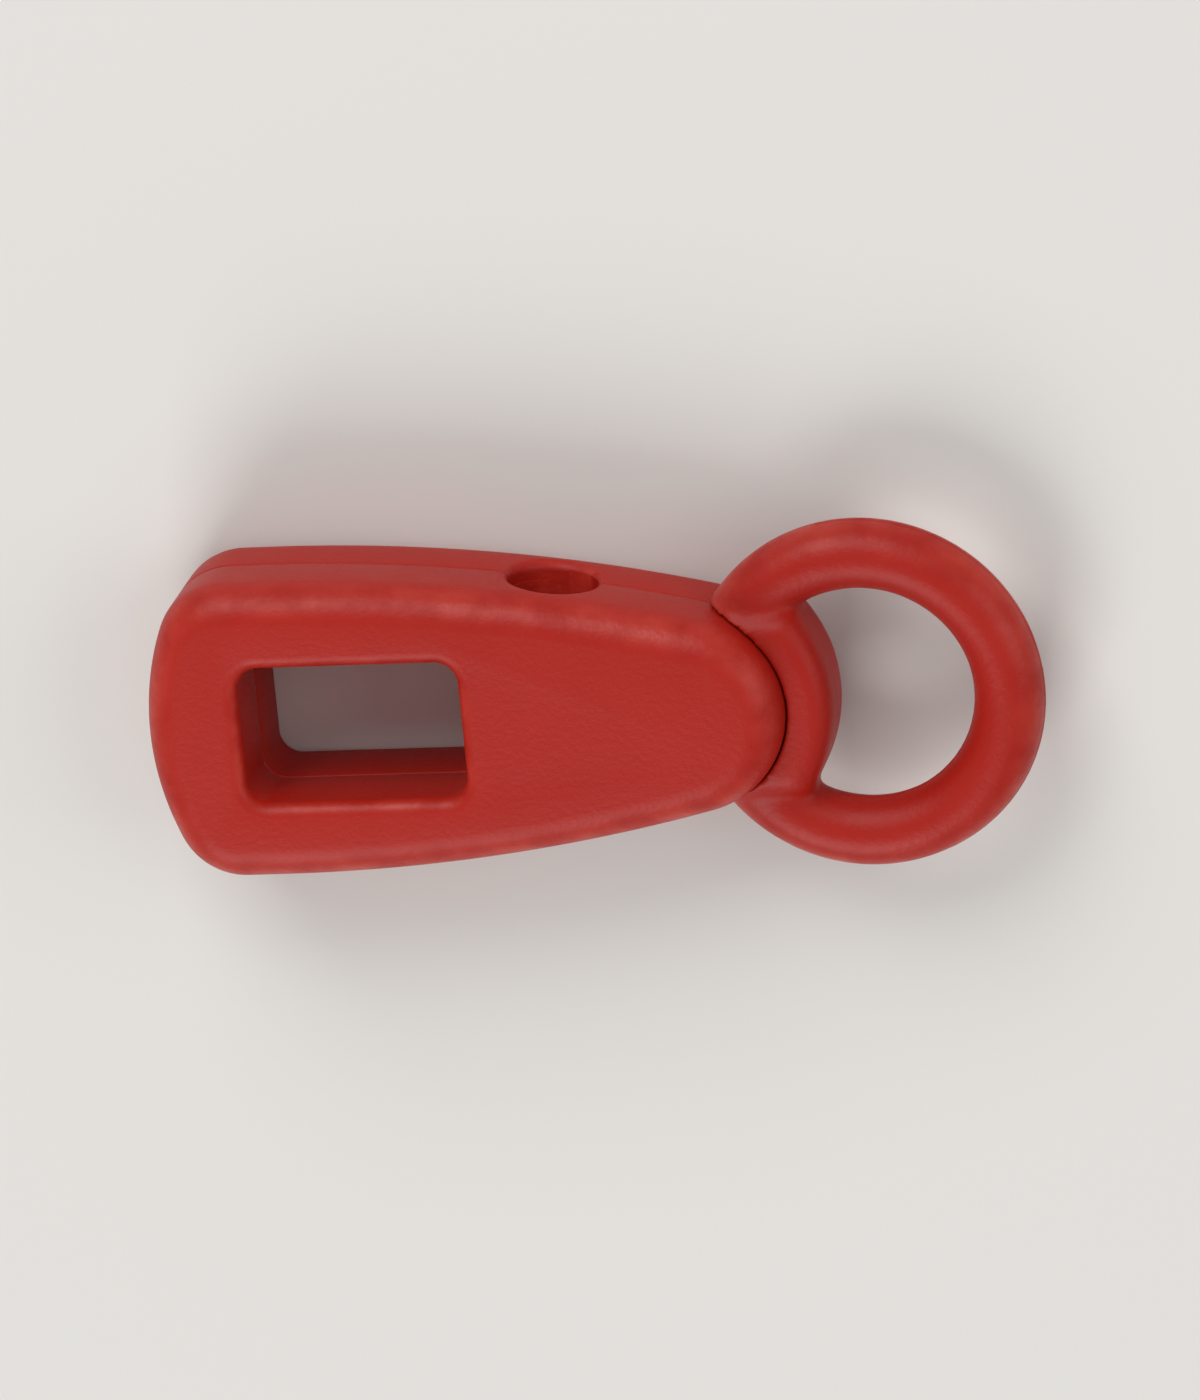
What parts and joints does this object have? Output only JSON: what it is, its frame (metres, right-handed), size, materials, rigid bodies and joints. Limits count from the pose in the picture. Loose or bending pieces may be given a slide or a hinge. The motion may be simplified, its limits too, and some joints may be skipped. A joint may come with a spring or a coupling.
{
  "type": "cord lock",
  "caption": "Small moulded pull-to-release cord lock: tapered housing with a clear tape window at one end, a crosswise cord bore, and a sprung jaw on a pull ring at the nose",
  "frame": {"origin": "centre of the bounding box's underside, which is the flat back face the lock lies on", "axes": "+X runs along the lock from the tape window to the pull ring, +Y across it along the cord bore, +Z through its thickness from the back face to the front face"},
  "size_m": [0.028, 0.0112, 0.0056],
  "materials": {
    "housing_plastic": "orange-red moulded acetal with a fine satin texture",
    "slider_plastic": "orange-red moulded acetal, slightly smoother from handling",
    "spring_steel": "bright drawn spring wire"
  },
  "bodies": {
    "housing": {"front_shell": "housing_plastic", "back_shell": "housing_plastic", "return_spring": "spring_steel"},
    "slider": {"release_slider": "slider_plastic"}
  },
  "joints": [
    {"name": "release_slide", "type": "slide", "parent": "housing", "child": "slider", "axis": [1, 0, 0], "range_m": [0, 0.0026], "stiffness_N_per_m": 1800, "springref_m": -0.0012, "deforming": ["return_spring"]}
  ]
}
